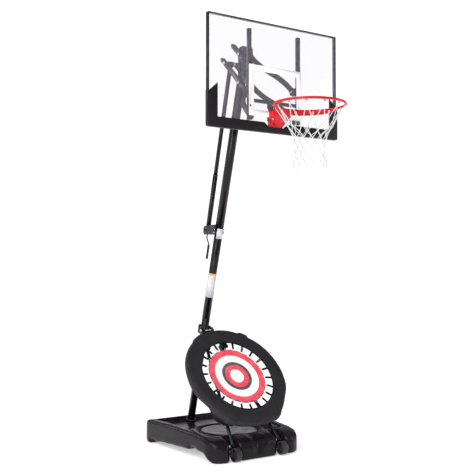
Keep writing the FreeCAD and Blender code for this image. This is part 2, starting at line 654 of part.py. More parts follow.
def make_jack_bracket():
    """A moulded saddle behind the pole with two ears for the foot of the jack."""
    foot_behind, foot_up = dim.jack_foot_behind, dim.jack_foot_up
    axis_behind = pole_behind(foot_up)
    saddle = box(76, 72, 74, at(axis_behind - 2, foot_up, 0), (True, False, True))
    web = box(48, foot_behind - axis_behind - 96, 56, at(axis_behind + 60, foot_up - 4), (True, False, True))
    ears = []
    for sign in SIDES.values():
        ear = new_body("bracket_ear")
        outline(new_sketch(ear, "YZ_Plane"), [(FACE + b, foot_up + u) for b, u in (
            (axis_behind + 40, -37), (foot_behind + 12, -34), (foot_behind + 26, -20),
            (foot_behind + 26, 16), (foot_behind + 10, 34), (axis_behind + 40, 37))])
        pad(ear, ear.Group[-1], 6)
        ears.append(place(ear, (sign * 24.2, 0, 0)))
    pole_space = cylinder("pole_upper_dia / 2 + 0.15", 400, on_pole(foot_up - 200), POLE_UP)
    pin_hole = cylinder(5.1, 120, at(foot_behind, foot_up), (1, 0, 0), True)
    bolt_holes = [cylinder(4.1, 120, on_pole(up), (1, 0, 0), True) for up in (1618, 1640)]
    node("jack_bracket", cut(fuse(saddle, web, *ears), pole_space, pin_hole, *bolt_holes))
    node("jack_bracket_bolts", group([bolt(on_pole(up), 92, 4, 1.3) for up in (1618, 1640)]))


# ---------------------------------------------------------------- backboard

def bolt_places():
    return [(across, up) for across in (-40, 40) for up in (RIM_CENTRE_UP - 82, RIM_CENTRE_UP + 4)]


def rim_bolt_holes(radius):
    return [cylinder(radius, 80, at(0, up, across), (0, 1, 0), True) for across, up in bolt_places()]


def make_board():
    middle_up = BOARD_BOTTOM + dim.board_height / 2
    panel = new_body("panel_body")
    rectangle(new_sketch(panel, "XZ_Plane"), (0, middle_up), "board_width - 6", "board_height - 6")
    pad(panel, panel.Group[-1], "panel_thickness")
    place(panel, (0, FACE + dim.panel_thickness / 2, 0))
    node("backboard_panel", cut(panel, *rim_bolt_holes(4.2)))

    outer = box("board_width", "trim_depth", "board_height", at(-2, BOARD_BOTTOM), (True, False, False))
    lip = dim.trim_lip
    window = box("board_width - 2 * trim_lip", 80, "board_height - 2 * trim_lip", at(-30, BOARD_BOTTOM + lip),
                 (True, False, False))
    slot = box("board_width - 5.6", "panel_thickness + 0.2", "board_height - 5.6",
               at(-0.1, BOARD_BOTTOM + 2.8), (True, False, False))
    node("board_trim", cut(outer, window, slot))

    square_up = dim.square_bottom
    band = cut(box("square_width", 0.5, "square_height", at(-0.6, square_up), (True, False, False)),
               box("square_width - 2 * square_band", 3, "square_height - 2 * square_band",
                   at(-2, square_up + dim.square_band), (True, False, False)))
    screw_holes = [cylinder(6.2, 20, at(0, 2460, sign * dim.bar_spacing / 2), (0, 1, 0), True)
                   for sign in SIDES.values()]
    node("target_square", cut(band, *screw_holes, *rim_bolt_holes(4.2)))


def make_corner_guard():
    """The moulded guard round the lower corners: two uprights with sloped tops and a dip at the rim."""
    edge, inner = dim.board_width / 2 + 7, dim.board_width / 2 - 70
    low, shelf = BOARD_BOTTOM - 5, BOARD_BOTTOM + 65
    right = [(0, shelf - 30), (62, shelf - 30), (103, shelf), (inner, shelf), (inner, BOARD_BOTTOM + 293),
             (edge - 34, BOARD_BOTTOM + 255), (edge - 7, BOARD_BOTTOM + 232), (edge, BOARD_BOTTOM + 222),
             (edge, low + 14), (edge - 5, low + 4), (edge - 16, low)]
    left = [(-x, up) for x, up in reversed(right[1:])]
    front = new_body("guard_front")
    outline(new_sketch(front, "XZ_Plane"), right + left)
    pad(front, front.Group[-1], 6)
    place(front, (0, FACE - 5.2, 0))
    wraps = [box(6.9, 32, 232, at(-8.2, low + 12, sign * (edge - 3.45)), (True, False, False))
             for sign in SIDES.values()]
    under = box(2 * edge - 32, 32, 4.9, at(-8.2, low), (True, False, False))
    corner = [box(26, 32, 12, at(-8.2, low + 2, sign * (edge - 16)), (True, False, False))
              for sign in SIDES.values()]
    board_space = box("board_width + 0.2", "trim_depth + 8", "board_height", at(-2.1, BOARD_BOTTOM - 0.1),
                      (True, False, False))
    node("corner_guard", cut(fuse(front, under, *wraps, *corner), board_space))


def make_board_bars():
    depth_start = dim.panel_thickness + 1
    half = dim.bar_size / 2
    for side, sign in SIDES.items():
        across = sign * dim.bar_spacing / 2
        bar = box("bar_size", "bar_size", "bar_length", at(depth_start, dim.bar_bottom, across),
                  (True, False, False))
        hollow = box("bar_size - 4", "bar_size - 4", "bar_length",
                     at(depth_start + 2, dim.bar_bottom, across), (True, False, False))
        ears, holes = [], []
        for behind, up in BOARD_PIVOTS:
            ear = box(4, 52, 56, at(depth_start + 6, up, across - sign * (half + 2)), (True, False, True))
            ears.append(ear)
            holes.append(cylinder("bolt_dia / 2 + 0.05", 12, at(behind, up, across - sign * (half + 2)),
                                  (1, 0, 0), True))
        node(f"board_bar_{side}", cut(fuse(cut(bar, hollow), *ears), *holes))
    pivots = []
    for behind, up in BOARD_PIVOTS:
        for sign in SIDES.values():
            inner = sign * (dim.arm_outer_offset - 18)
            ear_face = sign * (dim.bar_spacing / 2 - half)
            length = abs(ear_face - inner) + 7
            pivots.append(bolt(at(behind, up, inner + sign * length / 2), length, dim.bolt_dia / 2, 1.5))
    node("board_pivot_bolts", group(pivots))
    inside = dim.bar_spacing / 2 - half - 0.2
    bar = box(2 * inside, 20, 24, at(depth_start, 2487.2), (True, False, False))
    bar_hollow = box(2 * inside, 16, 20, at(depth_start + 2, 2489.2), (True, False, False))
    node("board_crossbar", cut(bar, bar_hollow))

    screws = []
    for sign in SIDES.values():
        for up in (2460, 2760, 2960):
            head = cylinder(6, 2, at(-2.2, up, sign * dim.bar_spacing / 2), (0, 1, 0))
            screws.append(head)
    node("board_screws", group(screws))


# ---------------------------------------------------------------- rim and net

def wedge(name, width, inset, above=0):
    """The side shape of the rim bracket at a width. As the inner space, it runs past the back and top."""
    body = new_body(name)
    front = -(dim.rim_reach - dim.rim_radius - dim.rim_wire / 2) + 0.3
    top, low = RIM_CENTRE_UP + 8, RIM_CENTRE_UP - 100
    outline(new_sketch(body, "YZ_Plane"), [(FACE + b, u) for b, u in (
        (-4, low + 1.7 * inset), (-4, top + above), (front + inset, top + above),
        (front + inset, RIM_CENTRE_UP - 24 + 1.2 * inset))])
    pad(body, body.Group[-1], width)
    return body


def make_rim():
    plate = box(118, 4, 121, at(-4.7, RIM_CENTRE_UP - 104), (True, False, False))
    shell = cut(wedge("rim_box", 112, 0), wedge("rim_box_space", 106, 3, 20))
    side_bolt = at(-45, RIM_CENTRE_UP - 56)
    side_hole = cylinder(4.1, 140, side_bolt, (1, 0, 0), True)
    node("rim_bracket", cut(fuse(plate, shell), side_hole, *rim_bolt_holes(4.2)))

    back = box(134, 4, 121, at(5.2, RIM_CENTRE_UP - 65), (True, False, False))
    relief = [box(16, 10, 51, at(3, RIM_CENTRE_UP - 29, sign * 67), (True, False, False))
              for sign in SIDES.values()]
    lower = box(118, 4, 70, at(5.2, RIM_CENTRE_UP - 104), (True, False, False))
    node("rim_back_plate", cut(fuse(back, lower), *relief, *rim_bolt_holes(4.2)))
    through = [bolt(at(2.25, up, across), 22.8, 4, 1.8, (0, 1, 0)) for across, up in bolt_places()]
    node("rim_bolts", group(through + [bolt(side_bolt, 121.2, 4, 1.6)]))

    centre = at(-dim.rim_reach, RIM_CENTRE_UP)
    band = tube("rim_radius + 2", "rim_radius - 2", 60, at(-dim.rim_reach, RIM_CENTRE_UP - 60))
    taper = new_body("brace_taper")
    outline(new_sketch(taper, "YZ_Plane"), [(FACE + b, u) for b, u in (
        (-100, RIM_CENTRE_UP - 4), (-dim.rim_reach - 20, RIM_CENTRE_UP - 4),
        (-dim.rim_reach - 20, RIM_CENTRE_UP - 9), (-dim.rim_reach + 90, RIM_CENTRE_UP - 27),
        (-100, RIM_CENTRE_UP - 36))])
    pad(taper, taper.Group[-1], 600)
    node("rim_ring", fuse(torus("rim_radius", "rim_wire / 2", centre), common(band, taper)))

    loops = []
    for index in range(12):
        turn = math.radians(15 + 30 * index)
        loop = size(doc.addObject("Part::Torus", "loop"), Radius1=8, Radius2=2, Angle3=180)
        spin = FreeCAD.Rotation(V(0, 0, 1), math.degrees(turn) + 90) * FreeCAD.Rotation(V(1, 0, 0), -90)
        spot = V(*centre) + V(math.cos(turn), math.sin(turn), 0) * (dim.rim_radius - 6)
        loops.append(place(loop, (spot.x, spot.y, RIM_CENTRE_UP - 9), spin))
    node("net_hooks", group(loops))

    length, skin = dim.net_length, 3
    outside = [(222, 0), (116, -0.45 * length), (109, -0.58 * length), (108, -0.8 * length),
               (118, -length)]
    inside = [(radius - skin, up) for radius, up in reversed(outside)]
    net = ring_solid("net_body", outside + inside)
    node("net", place(net, at(-dim.rim_reach, RIM_CENTRE_UP - 22)))


# ---------------------------------------------------------------- build and write

make_base()
for side_name, side_sign in SIDES.items():
    make_wheel(side_name, side_sign)
    make_strut(side_name, side_sign)
    make_fork(side_name, side_sign)
make_axles()
make_pole()
make_label("height_label", 1575, 1650, "pole_middle_dia", 208, 130)
make_label("info_label", 1124, 1308, "pole_middle_dia", 168, 146)
make_strut_fixings()
make_rebounder()
make_arms()
make_pole_head()
make_jack()
make_jack_bracket()
make_board()
make_corner_guard()
make_board_bars()
make_rim()

doc.recompute()
faults = [obj.Label for obj in doc.Objects if {"Invalid", "Error"} & set(obj.State)]
if faults:
    raise RuntimeError(f"failed objects: {faults}")
for name, obj in nodes.items():
    shape = obj.Shape
    if shape.isNull() or not shape.isValid() or not shape.Solids:
        raise RuntimeError(f"bad shape: {name}")
for name, obj in nodes.items():
    obj.Shape.exportStep(f"parts/{name}.step")
whole = Part.makeCompound([obj.Shape for obj in nodes.values()]).BoundBox
print(len(nodes), "nodes, box", whole)
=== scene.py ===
import math

import bpy
import numpy as np
from mathutils import Matrix, Vector


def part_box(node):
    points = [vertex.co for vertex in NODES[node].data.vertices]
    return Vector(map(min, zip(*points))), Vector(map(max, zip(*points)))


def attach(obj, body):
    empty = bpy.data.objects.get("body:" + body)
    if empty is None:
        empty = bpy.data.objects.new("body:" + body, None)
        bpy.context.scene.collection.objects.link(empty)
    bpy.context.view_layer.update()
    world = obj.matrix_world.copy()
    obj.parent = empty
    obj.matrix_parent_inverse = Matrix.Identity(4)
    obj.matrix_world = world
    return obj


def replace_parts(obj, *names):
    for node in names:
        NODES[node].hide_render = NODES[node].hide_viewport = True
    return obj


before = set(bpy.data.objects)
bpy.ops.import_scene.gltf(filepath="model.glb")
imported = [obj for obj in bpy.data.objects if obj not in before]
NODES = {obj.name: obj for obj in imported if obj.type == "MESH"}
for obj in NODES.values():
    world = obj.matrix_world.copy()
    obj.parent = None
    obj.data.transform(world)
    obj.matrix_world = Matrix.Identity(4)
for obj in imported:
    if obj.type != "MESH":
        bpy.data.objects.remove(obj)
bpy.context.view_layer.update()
SCENE = bpy.context.scene


# ---------------------------------------------------------------- helpers for meshes

def middle(node):
    """The middle of a CAD node's box."""
    low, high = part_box(node)
    return (low + high) / 2


def new_object(name, verts, faces, smooth_angle=40.0):
    """A mesh object from points and faces, with smooth shading."""
    mesh = bpy.data.meshes.new(name)
    mesh.from_pydata([tuple(v) for v in verts], [], [tuple(f) for f in faces])
    mesh.update()
    obj = bpy.data.objects.new(name, mesh)
    SCENE.collection.objects.link(obj)
    shade(obj, smooth_angle)
    return obj


def shade(obj, smooth_angle=40.0):
    """Smooth shading with the edges above an angle kept sharp."""
    mesh = obj.data
    mesh.shade_smooth()
    mesh.set_sharp_from_angle(angle=math.radians(smooth_angle))


def dress(obj, material):
    """One material over the whole of an object."""
    obj.data.materials.clear()
    obj.data.materials.append(material)


def applied(obj, name=None):
    """The mesh of an object with its modifiers applied, as a new object that replaces it."""
    graph = bpy.context.evaluated_depsgraph_get()
    mesh = bpy.data.meshes.new_from_object(obj.evaluated_get(graph))
    final = bpy.data.objects.new(name or obj.name, mesh)
    SCENE.collection.objects.link(final)
    bpy.data.objects.remove(obj)
    final.name = name or final.name
    return final


def ring_quad(first, second, place, size):
    """The face between two rings of points that start at first and second, at one place round them."""
    after = (place + 1) % size
    return first + place, first + after, second + after, second + place


def sweep(paths, radius, sides=8):
    """Round tubes along (path, closed) polylines, each capped unless it is closed."""
    verts, faces = [], []
    for path, closed in paths:
        points = [Vector(p) for p in path]
        count = len(points)
        first = len(verts)
        side = None
        for i, point in enumerate(points):
            before = points[i - 1] if i or closed else point
            after = points[(i + 1) % count] if i < count - 1 or closed else point
            way = (after - before).normalized()
            if side is None:
                side = way.orthogonal().normalized()
            side = (side - way * side.dot(way)).normalized()
            up = way.cross(side)
            for k in range(sides):
                a = 2 * math.pi * k / sides
                verts.append(point + side * (radius * math.cos(a)) + up * (radius * math.sin(a)))
        for i in range(count if closed else count - 1):
            a, b = first + i * sides, first + ((i + 1) % count) * sides
            faces += [ring_quad(a, b, k, sides) for k in range(sides)]
        if not closed:
            faces.append(tuple(first + k for k in reversed(range(sides))))
            faces.append(tuple(first + (count - 1) * sides + k for k in range(sides)))
    return verts, faces


def round_path(points, steps):
    """A polyline that passes smoothly through points."""
    pts = [Vector(p) for p in points]
    out = []
    for i in range(len(pts) - 1):
        a, b, c, d = pts[max(i - 1, 0)], pts[i], pts[i + 1], pts[min(i + 2, len(pts) - 1)]
        for s in range(steps):
            t = s / steps
            out.append(0.5 * ((2 * b) + (c - a) * t + (2 * a - 5 * b + 4 * c - d) * t * t
                              + (3 * b - a - 3 * c + d) * t ** 3))
    out.append(pts[-1])
    return out


def turns(count, shift=0.0):
    """Angles evenly spaced round a circle."""
    return [2 * math.pi * (i + shift) / count for i in range(count)]


# ---------------------------------------------------------------- helpers for materials

# The sockets of a Mix node set to colour: the factor, both colours and the result.
MIX_SOCKETS = (0, 6, 7)
MIX_RESULT = 2
PATCH_DETAIL = 4.0
GRAIN_DETAIL = 2.0


class Look:
    """A node material round one Principled shader, with its patterns in the row frame."""

    def __init__(self, name, color, rough=0.5, **sockets):
        self.material = bpy.data.materials.new(name)
        self.material.use_nodes = True
        self.tree = self.material.node_tree
        self.shader = self.tree.nodes["Principled BSDF"]
        self.color = color
        self.set("Base Color", (*color, 1))
        self.set("Roughness", rough)
        for socket, value in sockets.items():
            self.set(socket.replace("_", " "), value)
        # Every pattern is placed by the object's own coordinates.
        self.place = self.node("ShaderNodeTexCoord").outputs["Object"]
        self.heights = []

    def set(self, socket, value):
        self.shader.inputs[socket].default_value = value

    def link(self, source, socket):
        """Drives a socket of the shader by a pattern."""
        self.tree.links.new(source, self.shader.inputs[socket])

    def node(self, kind, links=(), **settings):
        """A new node with its inputs linked, and its properties and other inputs set."""
        made = self.tree.nodes.new(kind)
        for key, value in settings.items():
            if hasattr(made, key):
                setattr(made, key, value)
            else:
                made.inputs[key.replace("_", " ")].default_value = value
        for socket, source in dict(links).items():
            self.tree.links.new(source, made.inputs[socket])
        return made

    def noise(self, scale, detail, stretch=None):
        """A soft random pattern, drawn out along an axis if stretched."""
        source = self.place
        if stretch:
            source = self.node("ShaderNodeMapping", {"Vector": source}, Scale=stretch).outputs[0]
        made = self.node("ShaderNodeTexNoise", {"Vector": source}, Scale=scale, Detail=detail)
        return made.outputs["Fac"]

    def ramp(self, fac, low, high, from_low, from_high):
        """Carries a value from one range to another, held at both ends."""
        made = self.node("ShaderNodeMapRange", {"Value": fac}, From_Min=from_low, From_Max=from_high,
                         To_Min=low, To_Max=high)
        return made.outputs[0]

    def math(self, operation, a, b=None):
        made = self.node("ShaderNodeMath", operation=operation)
        for socket, value in zip(made.inputs, (a, b)):
            if isinstance(value, (int, float)):
                socket.default_value = value
            elif value is not None:
                self.tree.links.new(value, socket)
        return made.outputs[0]

    def product(self, a, b):
        return self.math("MULTIPLY", a, b)

    def waves(self, along, pitch):
        """A sine wave of a pitch along a coordinate."""
        return self.math("SINE", self.product(along, 2 * math.pi / pitch))

    def mix(self, fac, a, b):
        """Blends two colours, each given as numbers or as a pattern."""
        made = self.node("ShaderNodeMix", data_type="RGBA")
        for index, value in zip(MIX_SOCKETS, (fac, a, b)):
            if isinstance(value, (int, float)):
                made.inputs[index].default_value = value
            elif isinstance(value, tuple):
                made.inputs[index].default_value = (*value[:3], 1)
            else:
                self.tree.links.new(value, made.inputs[index])
        return made.outputs[MIX_RESULT]

    def vary_color(self, scale, other, low=0.4, high=0.65):
        """Patches of a second colour over the first."""
        fac = self.ramp(self.noise(scale, PATCH_DETAIL), 0, 1, low, high)
        self.link(self.mix(fac, self.color, other), "Base Color")
        return self

    def vary_rough(self, scale, low, high, stretch=None):
        """Patches of higher and lower gloss."""
        fac = self.noise(scale, PATCH_DETAIL, stretch)
        self.link(self.ramp(fac, low, high, 0.3, 0.7), "Roughness")
        return self

    def relief(self, height, distance, strength):
        """Adds one layer of bump, in metres."""
        last = self.heights[-1] if self.heights else None
        links = {"Height": height}
        if last:
            links["Normal"] = last
        made = self.node("ShaderNodeBump", links, Strength=strength, Distance=distance)
        self.heights.append(made.outputs[0])
        self.link(made.outputs[0], "Normal")
        return self

    def grain(self, scale, distance, strength):
        """Soft random relief."""
        return self.relief(self.noise(scale, GRAIN_DETAIL), distance, strength)

    def pebbles(self, scale, distance, strength):
        """The pebbled relief of a moulding tool."""
        cells = self.node("ShaderNodeTexVoronoi", {"Vector": self.place}, Scale=scale)
        return self.relief(cells.outputs["Distance"], distance, strength)

    def separate(self, place=None):
        """The x, y and z of a place, by default the object's own."""
        return self.node("ShaderNodeSeparateXYZ", {"Vector": place or self.place}).outputs


def plastic(name, color, rough, other, pebble, depth, specular=0.4):
    """Moulded plastic with a pebbled skin."""
    look = Look(name, color, rough, Specular_IOR_Level=specular)
    look.vary_color(6, other).vary_rough(14, rough - 0.07, rough + 0.1)
    look.pebbles(pebble, depth, 0.5).grain(24, 0.0004, 0.2)
    return look.material


def gloss_paint(name, color, rough, other):
    """Powder coat over steel, with a slight orange peel."""
    look = Look(name, color, rough, Coat_Weight=0.07, Coat_Roughness=0.06, Specular_IOR_Level=0.22)
    look.vary_color(9, other, 0.45, 0.7).vary_rough(22, rough - 0.05, rough + 0.08)
    look.grain(420, 0.00012, 0.35).grain(12, 0.0008, 0.12)
    return look.material


def zinc_plate(name, color, rough):
    """Plated steel, with streaks of gloss drawn out along one axis."""
    look = Look(name, color, rough, Metallic=1.0)
    look.vary_color(40, tuple(c * 0.72 for c in color), 0.4, 0.7)
    look.vary_rough(60, rough - 0.08, rough + 0.12, stretch=(1, 1, 14))
    look.grain(700, 0.00005, 0.4)
    return look.material


# ---------------------------------------------------------------- materials

# Each plastic: colour, roughness, colour of its patches, pebbles per metre, their depth, specular level.
BASE_PLASTIC = plastic("moulded_base", (0.0078, 0.0052, 0.0082), 0.25, (0.0105, 0.0075, 0.0112),
                       520, 0.00002, 0.15)
DARK_PLASTIC = plastic("dark_plastic", (0.012, 0.0115, 0.013), 0.4, (0.018, 0.017, 0.019),
                       800, 0.0001, 0.3)
GUARD_PLASTIC = plastic("guard_plastic", (0.0085, 0.0075, 0.009), 0.42, (0.012, 0.0105, 0.0125),
                        640, 0.0001, 0.22)
TRIM_PLASTIC = plastic("trim_plastic", (0.0085, 0.008, 0.009), 0.36, (0.012, 0.0115, 0.0125),
                       900, 0.00006, 0.25)
WHEEL_PLASTIC = plastic("wheel_plastic", (0.021, 0.02, 0.022), 0.32, (0.03, 0.0285, 0.031),
                        480, 0.00016, 0.5)
GRIP_PLASTIC = plastic("grip_plastic", (0.007, 0.007, 0.0075), 0.34, (0.011, 0.011, 0.012),
                       900, 0.00006, 0.3)
BLACK_PAINT = gloss_paint("black_paint", (0.0035, 0.003, 0.004), 0.16, (0.006, 0.005, 0.007))
ARM_PAINT = gloss_paint("arm_paint", (0.012, 0.0095, 0.017), 0.2, (0.018, 0.015, 0.024))
RED_PAINT = gloss_paint("red_paint", (0.56, 0.004, 0.012), 0.26, (0.7, 0.012, 0.024))
ZINC = zinc_plate("zinc", (0.8, 0.8, 0.78), 0.4)
WHITE_PRINT = plastic("white_print", (0.94, 0.94, 0.94), 0.55, (0.92, 0.92, 0.92), 1200, 0.00003)


ACRYLIC_IOR = 1.49
FILM_COLOR = (0.38, 0.36, 0.42)
FILM_SHARE = 0.15


def clear_panel():
    """Clear acrylic with a faint milky film, dust and hairline scuffs."""
    look = Look("clear_panel", FILM_COLOR, 0.06, IOR=ACRYLIC_IOR)
    scuffs = look.ramp(look.noise(16, 6, stretch=(1, 1, 6)), 0, 1, 0.5, 0.72)
    look.link(look.ramp(scuffs, 0.05, 0.16, 0, 1), "Roughness")
    look.set("Alpha", FILM_SHARE)
    look.grain(5, 0.0006, 0.08)
    look.material.surface_render_method = "BLENDED"
    return look.material


LABEL_STOCK = (0.62, 0.61, 0.62)
LABEL_RULE = (0.27, 0.27, 0.28)
LABEL_ORANGE = (0.82, 0.36, 0.03)


def label(node, top_band, rows):
    """White label stock with plain grey rules, and for one label a coloured band along its top."""
    low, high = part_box(node)
    look = Look(node + "_print", LABEL_STOCK, 0.42)
    share = look.ramp(look.separate()[2], 0, 1, low.z, high.z)
    wave = look.math("FRACT", look.product(share, float(rows)))
    rule = look.math("GREATER_THAN", wave, 0.62)
    gap = look.math("GREATER_THAN", look.noise(55, 1, stretch=(1, 1, 0.25)), 0.47)
    color = look.mix(look.product(look.product(rule, gap), 0.5), LABEL_STOCK, LABEL_RULE)
    if top_band:
        color = look.mix(look.math("GREATER_THAN", share, 0.9), color, top_band)
    look.link(color, "Base Color")
    look.grain(300, 0.00004, 0.3)
    return look.material


CLEAR = clear_panel()
HEIGHT_LABEL = label("height_label", None, 7)
INFO_LABEL = label("info_label", LABEL_ORANGE, 19)


# The rebounder lies in its own plane, turned about +X; its patterns are measured in that plane.
MAT_TILT = math.radians(49.5)
MAT_TURN = Matrix.Rotation(MAT_TILT, 3, "X")
MAT_MIDDLE = middle("rebounder_mat")


# Falling through these lifts from the mat's plane, the pad's cloth turns to its edge's tone, a painted
# highlight, then to its fold's, painted shade.
EDGE_HIGHLIGHT_BLEND = (0.005, 0.014)
FOLD_SHADE_BLEND = (-0.036, -0.029)


def woven(name, color, other, pitch, depth, rough, sheen, specular, edge=None, fold_shade=None):
    """Plain-weave cloth: two crossed sets of fine ribs, with patches of wear.

    The pad's cloth is painted paler on its skirt below the outer edge, a painted highlight, and darker in its
    under-fold, painted shade.
    """
    look = Look(name, color, rough, Sheen_Weight=sheen, Sheen_Roughness=0.45, Specular_IOR_Level=specular)
    turned = look.node("ShaderNodeMapping", {"Vector": look.place}, Rotation=(-MAT_TILT, 0, 0))
    x, y, z = look.separate(turned.outputs[0])[:3]
    plane = (MAT_TURN.transposed() @ MAT_MIDDLE).z
    ribs = [look.waves(axis, pitch) for axis in (x, y, z)]
    weave = look.math("ADD", look.product(ribs[0], ribs[1]), look.product(ribs[2], 0.5))
    patches = look.ramp(look.noise(7, 5), 0, 1, 0.38, 0.66)
    # The raised threads of the weave are painted lighter: a painted highlight on their crowns.
    crown_highlight = look.ramp(weave, 0, 0.35, -0.4, 1.0)
    color_mix = look.mix(patches, color, other)
    # Painted highlight on the skirt below the edge, then painted shade in the lower fold, by lift from the
    # mat's plane.
    if edge:
        for tone, (low, high) in ((edge, EDGE_HIGHLIGHT_BLEND), (fold_shade, FOLD_SHADE_BLEND)):
            color_mix = look.mix(look.ramp(z, 1, 0, plane + low, plane + high), color_mix, tone)
    # The tone of that painted highlight, lighter than the patches.
    lit = tuple(c * 1.7 for c in other)
    look.link(look.mix(look.product(crown_highlight, 0.55), color_mix, lit), "Base Color")
    look.relief(weave, depth, 0.6).grain(38, 0.0015, 0.35)
    return look.material


# Each cloth: colour, colour of its patches, pitch and depth of its ribs, roughness, sheen, specular level.
PAD_CLOTH = woven("pad_cloth", (0.0105, 0.0098, 0.0115), (0.015, 0.014, 0.016),
                  0.0016, 0.0002, 0.7, 0.02, 0.22,
                  # The last two tones: a painted highlight on the pad's skirt, then painted shade in its
                  # fold.
                  edge=(0.026, 0.0235, 0.028), fold_shade=(0.0032, 0.0028, 0.0035))
PAD_TAPE = woven("pad_tape", (0.005, 0.0048, 0.0055), (0.008, 0.0075, 0.0085),
                 0.0012, 0.0002, 0.7, 0.0, 0.15)
ELASTIC = woven("elastic_cord", (0.0035, 0.0035, 0.004), (0.006, 0.006, 0.0065),
                0.0022, 0.0003, 0.7, 0.0, 0.15)
NET_CORD = woven("net_cord", (0.66, 0.66, 0.65), (0.74, 0.74, 0.73),
                 0.003, 0.0005, 0.8, 0.2, 0.25)


MAT_HALF_THICKNESS = 0.0015


def on_mat(across, slope, lift):
    """A point in the rebounder's plane: across, up the slope, and off its upper face."""
    return MAT_MIDDLE + MAT_TURN @ Vector((across, slope, lift + MAT_HALF_THICKNESS))


def polar_on_mat(radius, angle, lift):
    """The same by radius and angle."""
    return on_mat(radius * math.cos(angle), radius * math.sin(angle), lift)


# The printed rings, each from its inner radius outwards, round a pale disc.
PRINT_MIDDLE = (0.95, 0.95, 0.93)
PRINT_RED = (0.86, 0.048, 0.085)
PRINT_RINGS = ((0.057, PRINT_RED), (0.098, (0.045, 0.047, 0.052)), (0.122, (0.9, 0.93, 0.95)),
               (0.180, PRINT_RED), (0.2265, (0.03, 0.03, 0.033)))
PRINT_FADED = (0.8, 0.74, 0.73)
PRINT_GAPS = (0.2, 0.18, 0.18)
PRINT_WEAVE = 0.0022


def mat_print():
    """Woven cloth printed with rings, with a little ink variation."""
    look = Look("mat_print", (0.8, 0.05, 0.08), 0.7, Sheen_Weight=0.08, Specular_IOR_Level=0.3)
    moved = look.node("ShaderNodeVectorMath", {0: look.place}, operation="SUBTRACT")
    moved.inputs[1].default_value = MAT_MIDDLE
    turned = look.node("ShaderNodeMapping", {"Vector": moved.outputs[0]}, Rotation=(-MAT_TILT, 0, 0))
    x, y = look.separate(turned.outputs[0])[:2]
    radius = look.math("SQRT", look.math("ADD", look.product(x, x), look.product(y, y)))
    wobble = look.product(look.math("SUBTRACT", look.noise(9, 2), 0.5), 0.004)
    radius = look.math("ADD", radius, wobble)
    color = PRINT_MIDDLE
    for edge, ring in PRINT_RINGS:
        color = look.mix(look.math("GREATER_THAN", radius, edge), color, ring)
    color = look.mix(look.ramp(look.noise(14, 5), 0, 0.12, 0.4, 0.75), color, PRINT_FADED)
    weave = look.product(look.waves(x, PRINT_WEAVE), look.waves(y, PRINT_WEAVE))
    color = look.mix(look.ramp(weave, 0, 0.16, -0.2, 1), color, PRINT_GAPS)
    look.link(color, "Base Color")
    look.relief(weave, 0.00025, 0.6)
    return look.material


MAT_PRINT = mat_print()


# ---------------------------------------------------------------- carried-over CAD nodes

FINISH = {
    BASE_PLASTIC: ["base_tank", "fill_cap"],
    WHEEL_PLASTIC: ["wheel_left", "wheel_right"],
    BLACK_PAINT: ["pole_lower", "pole_middle", "pole_upper", "strut_left", "strut_right", "strut_bracket",
                  "wheel_fork_left", "wheel_fork_right", "rebounder_frame", "rim_back_plate", "crank_rod",
                  "jack_outer_tube", "jack_inner_tube", "jack_trunnions", "wheel_axles"],
    ARM_PAINT: ["lower_arm_left", "lower_arm_right", "upper_arm_left", "upper_arm_right", "board_bar_left",
                "board_bar_right", "board_crossbar", "pole_head_bracket"],
    DARK_PLASTIC: ["pole_cap", "pole_collar", "jack_bracket", "jack_collar", "jack_eye", "jack_bearing",
                   "rebounder_clamps", "clamp_knobs"],
    GRIP_PLASTIC: ["crank_grip", "crank_end_cap"],
    GUARD_PLASTIC: ["corner_guard"],
    TRIM_PLASTIC: ["board_trim", "board_screws"],
    ZINC: ["strut_bolts", "pole_pivot_bolts", "pivot_washers", "board_pivot_bolts",
           "jack_bracket_bolts", "jack_stub_pins", "jack_screw", "jack_nut", "rim_bolts"],
    CLEAR: ["backboard_panel"],
    WHITE_PRINT: ["target_square"],
    RED_PAINT: ["rim_ring", "rim_bracket", "net_hooks"],
    HEIGHT_LABEL: ["height_label"],
    INFO_LABEL: ["info_label"],
    NET_CORD: ["net"],
    PAD_CLOTH: ["rebounder_pad"],
    MAT_PRINT: ["rebounder_mat"],
    ELASTIC: ["rebounder_bungees"],
}
EDGE_WIDTH = {
    "corner_guard": 0.004, "board_trim": 0.0015, "jack_bracket": 0.004, "fill_cap": 0.002,
    "wheel_left": 0.0015, "wheel_right": 0.0015, "rebounder_clamps": 0.003, "clamp_knobs": 0.002,
    "lower_arm_left": 0.003, "lower_arm_right": 0.003, "upper_arm_left": 0.003,
    "upper_arm_right": 0.003, "board_bar_left": 0.002, "board_bar_right": 0.002,
    "board_crossbar": 0.002, "pole_head_bracket": 0.0015, "rim_bracket": 0.0015,
    "backboard_panel": 0.0005, "jack_eye": 0.003, "strut_left": 0.001, "strut_right": 0.001,
}
WELD_DISTANCE = 0.00001
for material, names in FINISH.items():
    for name in names:
        node = NODES[name]
        dress(node, material)
        weld = node.modifiers.new("weld", "WELD")
        weld.merge_threshold = WELD_DISTANCE
        if name in EDGE_WIDTH:
            bevel = node.modifiers.new("edge", "BEVEL")
            bevel.width = EDGE_WIDTH[name]
            bevel.segments = 3
            bevel.limit_method = "ANGLE"
            bevel.angle_limit = math.radians(35)
            bevel.harden_normals = True
        shade(node, 38)


# ---------------------------------------------------------------- moulded base

def smooth_step(x, low, high):
    """0 below low, 1 above high and a smooth rise between."""
    t = np.clip((x - low) / (high - low), 0, 1)
    return t * t * (3 - 2 * t)


BASE_VOXEL = 0.005
BASE_SOFTENING = 110
WELL_BEHIND_FRONT = 0.3965
